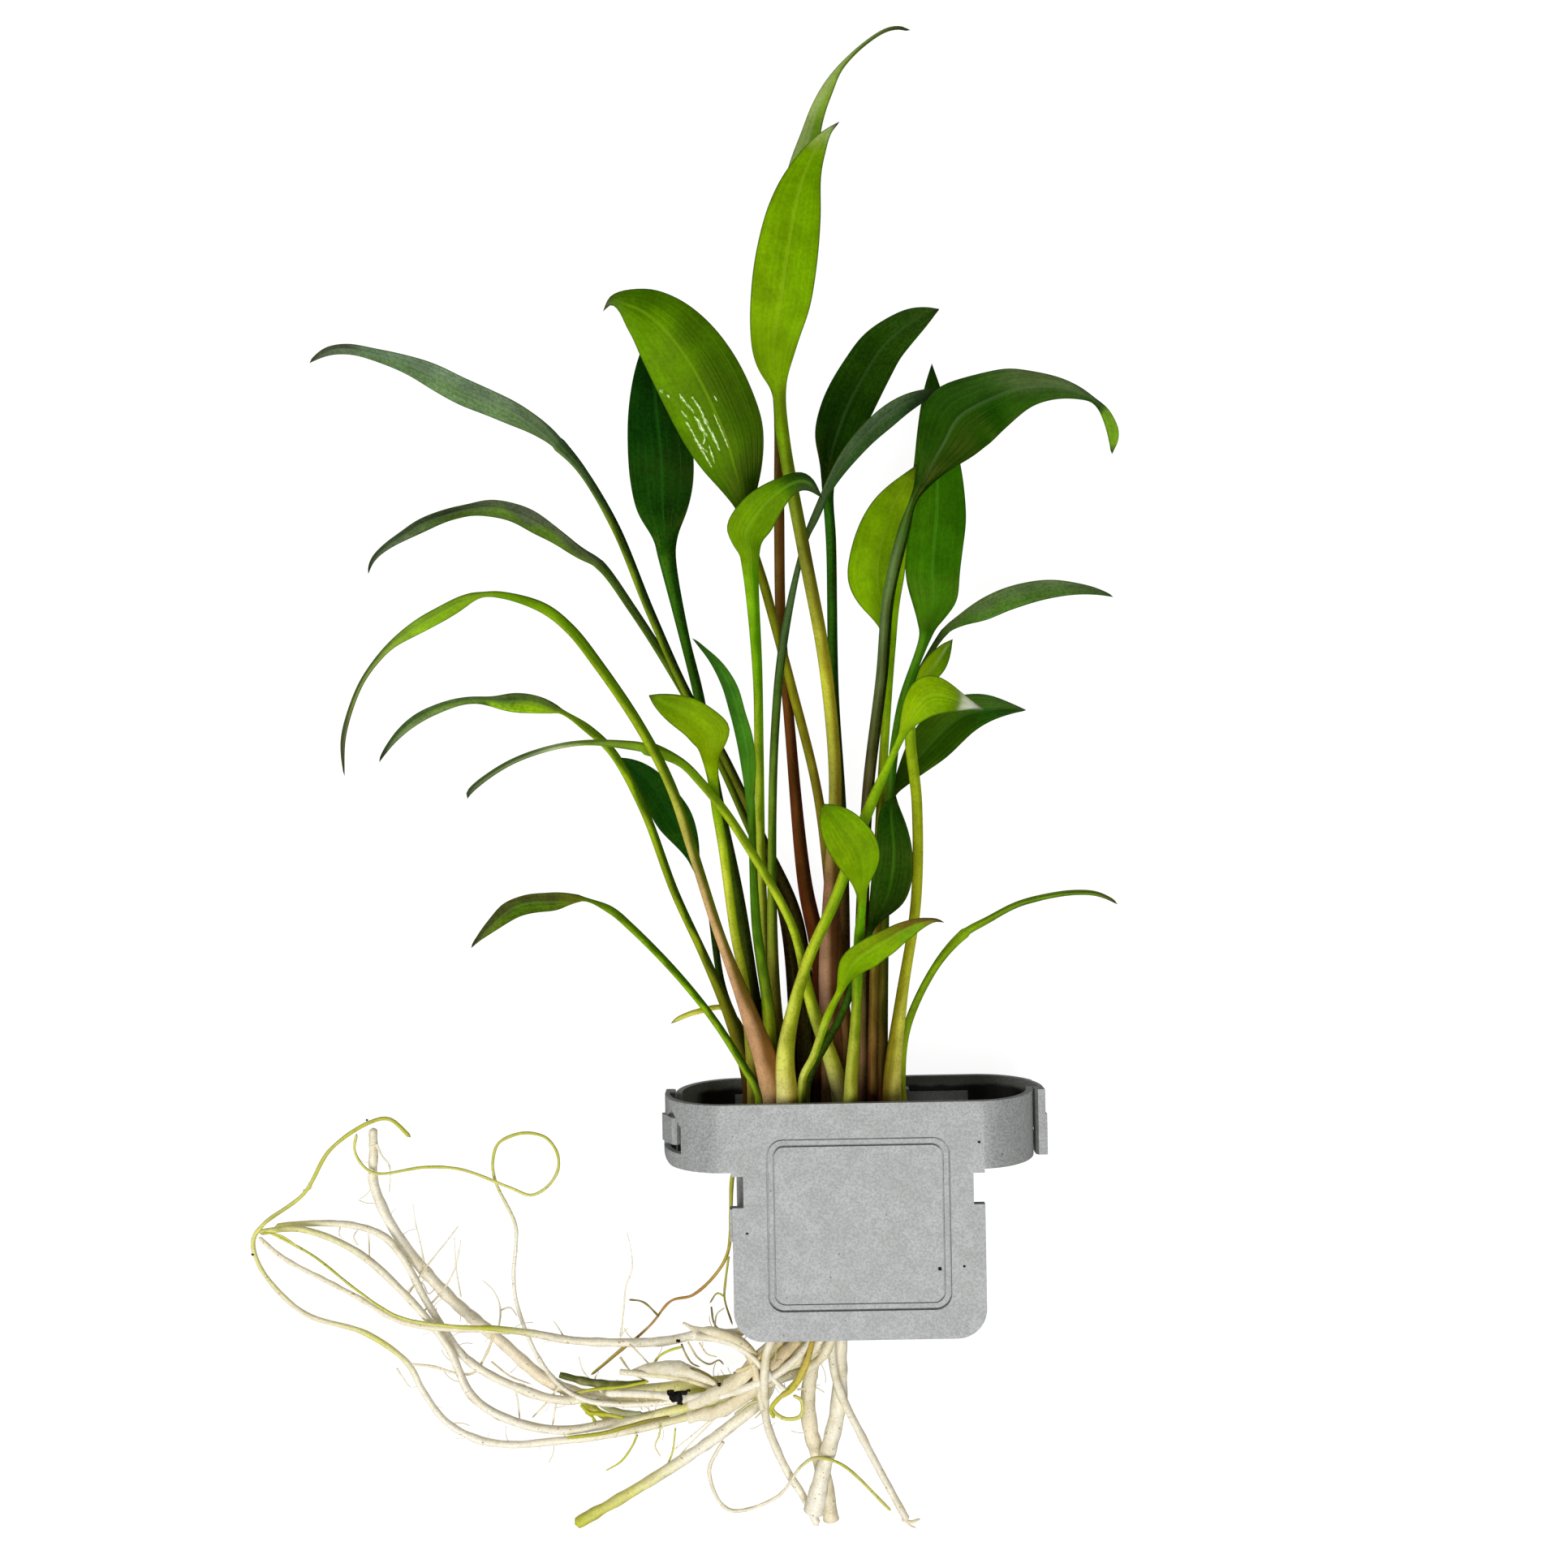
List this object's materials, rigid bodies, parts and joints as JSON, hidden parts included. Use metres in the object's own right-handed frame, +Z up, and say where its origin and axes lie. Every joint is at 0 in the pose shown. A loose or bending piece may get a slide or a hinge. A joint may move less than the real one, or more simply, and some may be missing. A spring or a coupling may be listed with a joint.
{
  "type": "potted water plant",
  "caption": "Bushy water plant with long-stalked lance-shaped leaves and a spray of pale roots, held by a flat clipped plastic half-round holder and lying on its back",
  "frame": {"origin": "the middle of the holder's flat back, on the surface that the plant lies on", "axes": "+X runs along the rim, to the right as one looks at the holder's front; +Y from the roots to the leaves; +Z up, out of the holder's front"},
  "size_m": [0.1743, 0.2912, 0.0469],
  "materials": {
    "holder_plastic": "fine matte grain with small dark specks",
    "stock_brown": "rough",
    "leaf_green": "damp, half glossy leaf",
    "root_cream": "damp, half glossy root"
  },
  "bodies": {
    "root": {"holder_front": "holder_plastic", "holder_back": "holder_plastic", "stock": "stock_brown", "leaf_tall_front": "leaf_green", "leaf_tall_back": "leaf_green", "leaf_big_bright": "leaf_green", "leaf_dark_left": "leaf_green", "leaf_grey_arch_upper": "leaf_green", "leaf_grey_arch_lower": "leaf_green", "leaf_long_arch": "leaf_green", "leaf_twisted": "leaf_green", "leaf_edge_on": "leaf_green", "leaf_low_arch_left": "leaf_green", "leaf_small_light_left": "leaf_green", "leaf_narrow_dark": "leaf_green", "leaf_small_dark_left": "leaf_green", "leaf_curled_over": "leaf_green", "leaf_oblique": "leaf_green", "leaf_dark_upper_right": "leaf_green", "leaf_arch_right": "leaf_green", "leaf_light_behind": "leaf_green", "leaf_dark_behind": "leaf_green", "leaf_narrow_right": "leaf_green", "leaf_small_light_right": "leaf_green", "leaf_whitish_tip": "leaf_green", "leaf_dark_right": "leaf_green", "leaf_small_light_middle": "leaf_green", "leaf_small_dark_middle": "leaf_green", "leaf_brown_edge": "leaf_green", "leaf_low_arch_right": "leaf_green", "leaf_stub": "leaf_green", "root_outer_loop": "root_cream", "root_second": "root_cream", "root_third": "root_cream", "root_fourth": "root_cream", "root_round_loop": "root_cream", "root_upper": "root_cream", "root_low_left": "root_cream", "root_down_left": "root_cream", "root_down_middle": "root_cream", "root_down_thick": "root_cream", "root_down_right": "root_cream", "root_thin_loop": "root_cream", "root_through_notch": "root_cream"}
  },
  "joints": []
}
